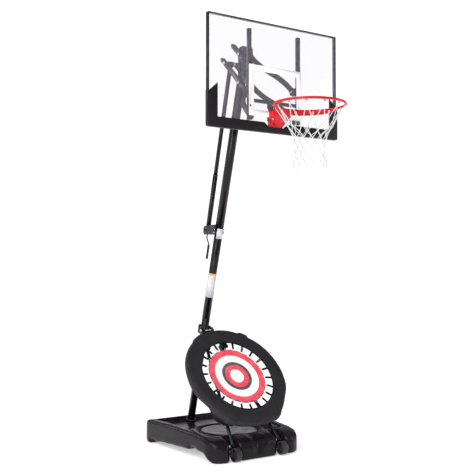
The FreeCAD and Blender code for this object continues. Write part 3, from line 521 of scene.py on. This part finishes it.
# The well's rings: height, and the radius and width of a ring or the radii between which a step falls.
PLATE_RISE, PLATE_EDGE = 0.006, (0.205, 0.219)
DISH_DEPTH, DISH_EDGE = 0.002, (0.15, 0.19)
MOAT_DEPTH, MOAT_RADIUS, MOAT_WIDTH = 0.015, 0.232, 0.011
LIP_RISE, LIP_RADIUS, LIP_WIDTH = 0.007, 0.262, 0.014
# The hand groove's depth and half-widths, and the ribs beside it.
GROOVE_DEPTH, GROOVE_HALF = 0.017, (0.008, 0.058)
RIB_RISE, RIB_ACROSS, RIB_WIDTH = 0.007, 0.068, 0.016


def ridge(distance, width):
    """A rounded ridge across a line: 1 on it, falling away on both sides."""
    return np.exp(-(distance / width) ** 2)


def moulded_base():
    """The tank with the soft, blown edges of its moulding, its raised well plate and ribs."""
    obj = new_object("tank_shell", [v.co for v in NODES["base_tank"].data.vertices],
                     [p.vertices for p in NODES["base_tank"].data.polygons])
    weld = obj.modifiers.new("weld", "WELD")
    weld.merge_threshold = WELD_DISTANCE
    remesh = obj.modifiers.new("remesh", "REMESH")
    remesh.mode = "VOXEL"
    remesh.voxel_size = BASE_VOXEL
    soft = obj.modifiers.new("soft", "SMOOTH")
    soft.factor, soft.iterations = 0.5, BASE_SOFTENING
    obj = applied(obj, "tank_shell")

    mesh = obj.data
    points = np.array([v.co for v in mesh.vertices], float)
    normals = np.array([v.normal for v in mesh.vertices], float)
    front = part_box("base_tank")[0].y
    x, y, z = points.T
    up = np.clip(normals[:, 2], 0, 1) ** 2 * smooth_step(z, 0.10, 0.125)

    # The well: a plate with a rolled edge inside a moat, and a lip outside the moat.
    radius = np.hypot(x, y - (front + WELL_BEHIND_FRONT))
    plate = PLATE_RISE * (1 - smooth_step(radius, *PLATE_EDGE))
    dish = DISH_DEPTH * (1 - smooth_step(radius, *DISH_EDGE))
    moat = MOAT_DEPTH * ridge(radius - MOAT_RADIUS, MOAT_WIDTH)
    lip = LIP_RISE * ridge(radius - LIP_RADIUS, LIP_WIDTH)
    points[:, 2] += up * (plate - dish - moat + lip)

    # A hand groove down the middle of the front wall, between two upright ribs.
    facing = np.clip(-normals[:, 1], 0, 1)
    near_front = 1 - smooth_step(y, front + 0.05, front + 0.15)
    groove = (1 - smooth_step(np.abs(x), *GROOVE_HALF)) * near_front
    ribs = ridge(np.abs(x) - RIB_ACROSS, RIB_WIDTH) * near_front
    points[:, 1] += facing * (GROOVE_DEPTH * groove - RIB_RISE * ribs) * smooth_step(z, 0.005, 0.13)
    points[:, 2] += up * (0.003 * ribs - 0.008 * groove)
    mesh.vertices.foreach_set("co", points.astype(np.float32).ravel())
    mesh.update()
    shade(obj, 180)
    dress(obj, BASE_PLASTIC)
    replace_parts(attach(obj, "frame"), "base_tank")


moulded_base()


# ---------------------------------------------------------------- rebounder pad, mat and loops

POST_ANGLES = [math.radians(a) for a in (60, 120, -60, -120)]
POST_HALF = 0.075
POST_FALL = 0.035
POCKET_DEGREES = (-132, -48)
POCKET_WIDTH = 9
FLAT_DEGREES = ((-54, -16), (-164, -126), (-114, -66))
PAD_STEPS = 240
TRIM_STEPS = 200
# The points of the cross-section that carry the welt and the hem tape.
WELT_POINT = 10
HEM_POINT = 15


def near_post(angle):
    """1 across a post of the frame, then falling to 0 beyond it."""
    best = 0.0
    for post in POST_ANGLES:
        off = abs(math.atan2(math.sin(angle - post), math.cos(angle - post)))
        share = min(1.0, max(0.0, (POST_HALF + POST_FALL - off) / POST_FALL))
        best = max(best, share * share * (3 - 2 * share))
    return best


def pad_profile(angle):
    """The cover's cross-section at an angle: (radius, lift) points round a crowned foam ring and its skirt.

    Along the bottom the skirt swells out to a crease and then folds in and hangs deeper, deepest in a pocket
    outside each lower post. It is drawn flat between the posts and the sides.
    """
    belly = float(smooth_step(-math.sin(angle), 0.56, 0.69))
    bump = near_post(angle)
    degrees = math.degrees(math.atan2(math.sin(angle), math.cos(angle)))
    pocket = sum(math.exp(-((degrees - at) / POCKET_WIDTH) ** 2) for at in POCKET_DEGREES)
    flat = 0.0
    for first, last in FLAT_DEGREES:
        if first < degrees < last:
            flat = math.sin(math.pi * (degrees - first) / (last - first)) ** 2
    outer = 0.4095 + 0.0105 * bump - 0.010 * flat
    wave = 0.002 * math.sin(9 * angle) * (1 - bump)
    skirt = -0.031 - 0.037 * belly - 0.006 * bump - 0.033 * pocket + wave
    top = 0.0185 + 0.003 * bump
    lean = 0.003 + 0.010 * belly
    fold = 0.35 * (skirt + 0.012)
    inner_wall = [(0.2945, 0.0042), (0.2925, 0.0075), (0.2925, 0.0135), (0.2955, 0.0175)]
    crown = [(0.305, top), (0.325, top + 0.0012), (0.355, top + 0.0016), (0.382, top + 0.0008),
             (0.397, top - 0.0006), (outer - 0.006, top - 0.004), (outer - 0.001, top - 0.011)]
    outer_wall = [(outer + 0.002 * belly, -0.004), (outer + 0.0015 + 0.008 * belly, -0.012 + fold),
                  (outer - 0.001 + 0.002 * belly, -0.020 + fold)]
    hem = [(outer - lean, skirt), (outer - lean - 0.004, skirt - 0.002),
           (outer - lean - 0.0085, skirt + 0.001)]
    inside = [(outer - 0.0115, -0.020 + fold), (outer - 0.0115, -0.008), (outer - 0.013, 0.0018)]
    underside = [(0.380, 0.0042), (0.340, 0.0042), (0.310, 0.0042)]
    return inner_wall + crown + outer_wall + hem + inside + underside


def binding_profile(angle):
    """The binding band's cross-section, the same at every angle."""
    return [(0.2935, 0.0030), (0.2905, 0.0036), (0.2892, 0.0070), (0.2892, 0.0118), (0.2900, 0.0152),
            (0.2925, 0.0168), (0.2950, 0.0160), (0.2950, 0.0050)]


def ring_from_profiles(name, profile_at):
    """A closed ring in the rebounder's plane, swept through its cross-section at each angle."""
    verts, faces = [], []
    for angle in turns(PAD_STEPS):
        verts += [polar_on_mat(radius, angle, lift) for radius, lift in profile_at(angle)]
    size = len(profile_at(0.0))
    for i in range(PAD_STEPS):
        a, b = i * size, ((i + 1) % PAD_STEPS) * size
        faces += [ring_quad(a, b, k, size) for k in range(size)]
    return new_object(name, verts, faces, 60)


PAD_VOXEL = 0.005
PAD_SWELL = 0.006
CLOTH_FRAMES = 20


def inflate(obj, share_at):
    """Cloth pressure swells a closed form; no point moves further than the swell times its share."""
    remesh = obj.modifiers.new("remesh", "REMESH")
    remesh.mode = "VOXEL"
    remesh.voxel_size = PAD_VOXEL
    obj = applied(obj)
    rest = np.array([v.co for v in obj.data.vertices], float)
    cloth = obj.modifiers.new("cloth", "CLOTH")
    cloth.settings.use_pressure = True
    cloth.settings.uniform_pressure_force = 4
    cloth.settings.effector_weights.gravity = 0
    cloth.settings.quality = 4
    cloth.settings.tension_stiffness = 12
    cloth.settings.compression_stiffness = 12
    cloth.settings.bending_stiffness = 0.4
    cloth.point_cache.frame_start, cloth.point_cache.frame_end = 1, CLOTH_FRAMES
    for step in range(1, CLOTH_FRAMES + 1):
        SCENE.frame_set(step)
    obj = applied(obj, obj.name)
    SCENE.frame_set(1)
    moved = np.array([v.co for v in obj.data.vertices], float) - rest
    length = np.linalg.norm(moved, axis=1, keepdims=True)
    moved *= np.minimum(1, PAD_SWELL / np.maximum(length, 1e-9)) * share_at(rest)
    obj.data.vertices.foreach_set("co", (rest + moved).astype(np.float32).ravel())
    obj.data.update()
    return obj


def pad_cover():
    """The padded cover with the binding, welt and hem tape sewn to it."""
    obj = ring_from_profiles("pad_cover", pad_profile)
    bpy.context.view_layer.update()
    facing = MAT_TURN @ Vector((0, 0, 1))

    def foam_share(points):
        lift = (points - np.array(MAT_MIDDLE)) @ np.array(facing)
        return smooth_step(lift, -0.006, 0.006)[:, None]

    obj = inflate(obj, foam_share)
    soft = obj.modifiers.new("soft", "SMOOTH")
    soft.factor, soft.iterations = 0.5, 2
    obj = applied(obj, "pad_cover")
    obj.name = "pad_cover"
    divide = obj.modifiers.new("divide", "SUBSURF")
    divide.levels = divide.render_levels = 1
    obj = applied(obj, "pad_cover")
    shade(obj, 180)
    dress(obj, PAD_CLOTH)
    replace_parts(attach(obj, "frame"), "rebounder_pad")

    band = ring_from_profiles("pad_inner_band", binding_profile)
    dress(band, PAD_TAPE)
    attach(band, "frame")

    # The hem tape and the seam welt follow the swollen cover's own surface.
    for name, index, wire, out, material in (("pad_hem_tape", HEM_POINT, 0.0030, -0.0005, PAD_TAPE),
                                             ("pad_seam_welt", WELT_POINT, 0.0022, 0.0004, PAD_CLOTH)):
        path = []
        for angle in turns(TRIM_STEPS):
            radius, lift = pad_profile(angle)[index]
            point, normal = obj.closest_point_on_mesh(polar_on_mat(radius, angle, lift))[1:3]
            path.append(point + normal * out)
        trim = new_object(name, *sweep([(path, True)], wire), 180)
        dress(trim, material)
        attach(trim, "frame")


pad_cover()

MAT_RADIUS = 0.233
MAT_SAG = 0.004
MAT_SCALLOP = 0.0016
MAT_CLOTH = 0.0018
HEM_INNER, HEM_OUTER, HEM_FOLD = 0.2255, 0.2325, 0.0009
LOOPS = 22


def mat_sheet():
    """The taut mat, pulled into faint scallops by the loops, with a folded hem."""
    rings = [0.03, 0.06, 0.09, 0.12, 0.15, 0.18, 0.20, 0.215, 0.2245, 0.2262, 0.229, 0.2318, MAT_RADIUS]
    steps = LOOPS * 10
    faces = []

    def lift_at(radius, angle, top):
        sag = -MAT_SAG * (1 - (radius / MAT_RADIUS) ** 2)
        ripple = 0.0006 * math.cos(LOOPS * angle) * (radius / MAT_RADIUS) ** 6
        hem = HEM_FOLD if HEM_INNER < radius < HEM_OUTER else 0.0
        return sag + ripple + (hem if top else -MAT_CLOTH - hem) - 0.0004

    def reach(radius, angle):
        return radius - MAT_SCALLOP * (0.5 - 0.5 * math.cos(LOOPS * angle)) * (radius / MAT_RADIUS) ** 4

    verts = []
    for top in (True, False):
        verts.append(on_mat(0, 0, lift_at(0, 0, top)))
        for radius in rings:
            verts += [polar_on_mat(reach(radius, angle), angle, lift_at(radius, angle, top))
                      for angle in turns(steps, 0.5)]
    layer = 1 + len(rings) * steps
    for top in (0, 1):
        start = top * layer
        for i in range(steps):
            n = (i + 1) % steps
            tri = (start, start + 1 + i, start + 1 + n)
            faces.append(tri if not top else tri[::-1])
            for k in range(len(rings) - 1):
                a, b = start + 1 + k * steps, start + 1 + (k + 1) * steps
                quad = (a + i, b + i, b + n, a + n)
                faces.append(quad if not top else quad[::-1])
    last = 1 + (len(rings) - 1) * steps
    for i in range(steps):
        n = (i + 1) % steps
        faces.append((last + i, layer + last + i, layer + last + n, last + n))
    obj = new_object("mat_sheet", verts, faces, 60)
    dress(obj, MAT_PRINT)
    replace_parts(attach(obj, "frame"), "rebounder_mat")
    return obj


MAT = mat_sheet()


HOOP_RADIUS = 0.345
HOOP_LIFT = -0.012
WRAP_RADIUS = 0.0168
RING_RADIUS = 0.236
CORD_WIRE, RING_WIRE, HOOK_WIRE = 0.0042, 0.0014, 0.0016


def loops():
    """Elastic loops from hooks on the mat's hem, round the hoop, each drawn into a narrow pair of strands."""
    cords, rings, hooks = [], [], []
    for index, turn in enumerate(turns(LOOPS, 0.5)):
        radial = Vector((math.cos(turn), math.sin(turn), 0))
        side = Vector((-math.sin(turn), math.cos(turn), 0))

        def spot(out, across, lift):
            p = radial * out + side * across
            return on_mat(p.x, p.y, lift)

        spread = 0.0047 + 0.0006 * math.sin(index * 2.4)
        path = [spot(0.327, -spread, -0.002), spot(0.300, -spread, -0.0024),
                spot(0.268, -spread * 0.9, -0.0026), spot(0.2515, -0.0044, -0.0024),
                spot(0.2465, 0.0, -0.0020), spot(0.2515, 0.0044, -0.0024),
                spot(0.268, spread * 0.9, -0.0026), spot(0.300, spread, -0.0024),
                spot(0.327, spread, -0.002)]
        ends = []
        for sign in (-1, 1):
            ends.append([spot(HOOP_RADIUS + WRAP_RADIUS * math.cos(a), sign * spread,
                              HOOP_LIFT + WRAP_RADIUS * math.sin(a))
                         for a in [math.radians(d) for d in range(125, -100, -20)]])
        cords.append((round_path(ends[0][::-1] + path + ends[1], 3), False))
        ring = [spot(RING_RADIUS + 0.0085 * math.cos(a), 0.011 * math.sin(a), 0.0002 + 0.0008 * math.cos(a))
                for a in turns(20)]
        rings.append((ring, True))
        hook = [spot(0.2525, 0, 0.0030), spot(0.2475, 0, 0.0040), spot(0.2425, 0, 0.0012),
                spot(0.2420, 0, -0.0034), spot(0.2475, 0, -0.0086), spot(0.2525, 0, -0.0080)]
        hooks.append((round_path(hook, 3), False))
    for name, paths, wire, material, body_slot in (
            ("loop_cords", cords, CORD_WIRE, ELASTIC, "bungee_cord"),
            ("loop_rings", rings, RING_WIRE, ZINC, "zinc"),
            ("loop_hooks", hooks, HOOK_WIRE, DARK_PLASTIC, "dark_plastic")):
        piece = new_object(name, *sweep(paths, wire), 180)
        dress(piece, material)
        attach(piece, "frame")
        if name == "loop_cords":
            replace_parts(piece, "rebounder_bungees")


loops()


# ---------------------------------------------------------------- washers

HEAD_RADIUS = 0.0076
WASHER_STEPS = 40
WASHER_SECTION = [(HEAD_RADIUS + 0.0002, 0.0), (0.0108, 0.0), (0.0112, 0.0006), (0.0108, 0.0015),
                  (HEAD_RADIUS + 0.0002, 0.0019)]
WASHER_GAP = 0.0001


def fork_washers():
    """A rolled washer round each bolt head on the wheel forks."""
    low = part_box("strut_bolts")[0]
    size = len(WASHER_SECTION)
    verts, faces = [], []
    for fork in ("wheel_fork_left", "wheel_fork_right"):
        for face, way in ((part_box(fork)[0].x, -1), (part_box(fork)[1].x, 1)):
            first = len(verts)
            for turn in turns(WASHER_STEPS):
                for radius, out in WASHER_SECTION:
                    verts.append((face + way * (out + WASHER_GAP),
                                  low.y + HEAD_RADIUS + radius * math.cos(turn),
                                  low.z + HEAD_RADIUS + radius * math.sin(turn)))
            for i in range(WASHER_STEPS):
                a, b = first + size * i, first + size * ((i + 1) % WASHER_STEPS)
                quads = [ring_quad(a, b, k, size) for k in range(size)]
                faces += quads if way > 0 else [quad[::-1] for quad in quads]
    washers = new_object("fork_washers", verts, faces, 50)
    dress(washers, ZINC)
    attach(washers, "frame")


fork_washers()


# ---------------------------------------------------------------- net

RIM_LOW, RIM_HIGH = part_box("net_hooks")
RIM_MIDDLE = Vector(((RIM_LOW.x + RIM_HIGH.x) / 2, (RIM_LOW.y + RIM_HIGH.y) / 2,
                     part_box("rim_ring")[1].z - 0.0085))
HOOKS = 12
# The radius of each row of knots, and its height from the rim's middle.
NET_ROWS = [(0.2275, -0.0215), (0.152, -0.150), (0.1245, -0.192), (0.1115, -0.232), (0.1065, -0.272),
            (0.1045, -0.312), (0.1055, -0.350), (0.1095, -0.386)]
STRAND_WIRE, KNOT_WIRE = 0.0024, 0.0021
LONG_SAG, SHORT_SAG = 0.004, 0.0022
KNOT_GIVE = 0.0032
HANG = 0.038


def outward(point):
    """The level direction from the rim's axis to a point."""
    return Vector((point.x - RIM_MIDDLE.x, point.y - RIM_MIDDLE.y, 0)).normalized()


def along_rim(out):
    """The level direction across an outward one."""
    return Vector((-out.y, out.x, 0))


def net():
    """A knotted cord net: long strands from each hook, then rows of small diamonds and hanging loops."""
    rng = np.random.default_rng(11)
    knots = []
    for k, (radius, down) in enumerate(NET_ROWS):
        ring = []
        for i in range(HOOKS):
            turn = math.radians(15 + 30 * (i + (0.5 if k % 2 else 0.0)))
            give = 0.0 if k == 0 else KNOT_GIVE
            turn += rng.normal(0, give * 4)
            r = radius + rng.normal(0, give)
            ring.append(RIM_MIDDLE + Vector((r * math.cos(turn), r * math.sin(turn),
                                             down + rng.normal(0, give))))
        knots.append(ring)
    strands, wraps = [], []
    for k in range(len(NET_ROWS) - 1):
        for i in range(HOOKS):
            a = knots[k][i]
            shift = 0 if k % 2 == 0 else 1
            for j in (i + shift - 1, i + shift):
                b = knots[k + 1][j % HOOKS]
                mid = (a + b) / 2
                sag = LONG_SAG if k == 0 else SHORT_SAG
                strands.append((round_path([a, mid - outward(mid) * sag, b], 5), False))
            if k:
                out = outward(a)
                wrap = [a + along_rim(out) * (0.0034 * math.cos(t)) + out * (0.0026 * math.sin(t))
                        + Vector((0, 0, 0.0009 * math.sin(3 * t))) for t in turns(12)]
                wraps.append((wrap, True))
    last = knots[-1]
    for i in range(HOOKS):
        a, b = last[i], last[(i + 1) % HOOKS]
        mid = (a + b) / 2
        out = outward(mid)
        low = Vector((0, 0, -HANG - 0.006 * rng.random()))
        strands.append((round_path([a, a.lerp(mid, 0.35) + low * 0.62 + out * 0.004, mid + low + out * 0.007,
                                    b.lerp(mid, 0.35) + low * 0.62 + out * 0.004, b], 5), False))
    for a in knots[0]:
        loop = [a + along_rim(outward(a)) * (0.0065 * math.sin(t))
                + Vector((0, 0, 0.0055 - 0.0075 * math.cos(t))) for t in turns(16)]
        wraps.append((loop, True))
    verts, faces = sweep(strands, STRAND_WIRE, 7)
    more_verts, more_faces = sweep(wraps, KNOT_WIRE, 6)
    first = len(verts)
    faces += [tuple(v + first for v in f) for f in more_faces]
    obj = new_object("cord_net", verts + more_verts, faces, 180)
    dress(obj, NET_CORD)
    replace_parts(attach(obj, "board"), "net")


net()


# ---------------------------------------------------------------- floor, light and camera

FLOOR_RADIUS = 60
FLOOR_STEPS = 96
FLOOR_Z = -0.0005
FLOOR_GLOW = 0.43
BACKDROP_SEEN = 1.2
BACKDROP_REFLECTED = (0.3, 0.3, 0.31, 1)


def studio_floor():
    """A white disc that glows enough to meet the white backdrop."""
    look = Look("studio_floor", (0.93, 0.93, 0.93), 0.9, Specular_IOR_Level=0.0)
    look.vary_color(0.7, (0.925, 0.925, 0.93))
    look.set("Emission Color", (1, 1, 1, 1))
    look.set("Emission Strength", FLOOR_GLOW)
    verts = [(0, 0, FLOOR_Z)] + [(FLOOR_RADIUS * math.cos(a), FLOOR_RADIUS * math.sin(a), FLOOR_Z)
                                 for a in turns(FLOOR_STEPS)]
    faces = [(0, 1 + i, 1 + (i + 1) % FLOOR_STEPS) for i in range(FLOOR_STEPS)]
    floor = new_object("studio_floor", verts, faces)
    dress(floor, look.material)


def backdrop():
    """White where it is seen, and grey where it is reflected or lights the scene."""
    world = bpy.data.worlds.new("studio")
    SCENE.world = world
    world.use_nodes = True
    tree = world.node_tree
    back = tree.nodes["Background"]
    back.inputs["Color"].default_value = BACKDROP_REFLECTED
    back.inputs["Strength"].default_value = 1.0
    white = tree.nodes.new("ShaderNodeBackground")
    white.inputs["Color"].default_value = (1, 1, 1, 1)
    white.inputs["Strength"].default_value = BACKDROP_SEEN
    path = tree.nodes.new("ShaderNodeLightPath")
    mix = tree.nodes.new("ShaderNodeMixShader")
    tree.links.new(path.outputs["Is Camera Ray"], mix.inputs[0])
    tree.links.new(back.outputs[0], mix.inputs[1])
    tree.links.new(white.outputs[0], mix.inputs[2])
    tree.links.new(mix.outputs[0], tree.nodes["World Output"].inputs["Surface"])


def aimed(direction):
    """The rotation that points a lamp or a camera in a direction."""
    return direction.to_track_quat("-Z", "Y").to_euler()


def softbox(name, place, target, width, height, power, tint=(1, 1, 1)):
    """A rectangular lamp that isn't seen itself, aimed at a target."""
    data = bpy.data.lights.new(name, "AREA")
    data.shape = "RECTANGLE"
    data.size, data.size_y, data.energy = width, height, power
    data.color = tint
    lamp = bpy.data.objects.new(name, data)
    SCENE.collection.objects.link(lamp)
    lamp.location = place
    lamp.visible_camera = False
    lamp.rotation_euler = aimed(Vector(target) - Vector(place))


def sun(name, direction, power, spread):
    """A wide, soft light from one direction."""
    data = bpy.data.lights.new(name, "SUN")
    data.energy, data.angle = power, spread
    lamp = bpy.data.objects.new(name, data)
    lamp.rotation_euler = aimed(direction)
    SCENE.collection.objects.link(lamp)


CAMERA_PLACE = (-3.528, -4.9026, 1.363)
CAMERA_LEVEL = (0.5703, 0.8214)
CAMERA_PITCH = 0.0344


def main_camera():
    """The camera of the main view: low in front, to the left of the hoop."""
    lens = bpy.data.cameras.new("camera")
    lens.lens = 63.45
    lens.sensor_width = 36
    lens.clip_end = 200
    camera = bpy.data.objects.new("camera", lens)
    SCENE.collection.objects.link(camera)
    camera.location = CAMERA_PLACE
    level = math.cos(CAMERA_PITCH)
    camera.rotation_euler = aimed(Vector((CAMERA_LEVEL[0] * level, CAMERA_LEVEL[1] * level,
                                          math.sin(CAMERA_PITCH))))
    SCENE.camera = camera


studio_floor()
backdrop()
softbox("key", (-3.4, -1.15, 1.9), (0, 0.1, 1.8), 1.8, 3.2, 62)
softbox("front", (-4.6, -3.3, 1.3), (0, -0.1, 0.5), 0.16, 1.7, 26, (1, 0.95, 1))
softbox("fill", (4.4, -3.0, 2.4), (0, 0, 1.2), 0.5, 3.0, 40)
softbox("rim", (-2.4, 4.2, 2.8), (0, 0, 1.6), 0.5, 3.2, 40)
softbox("far", (2.9, 3.4, 0.95), (0, -0.2, 0.25), 3.4, 1.3, 9, (1, 0.9, 1))
sun("sky", Vector((0.56, 0.44, -0.70)), 1.7, math.radians(60))
main_camera()
SCENE.view_settings.view_transform = "Standard"
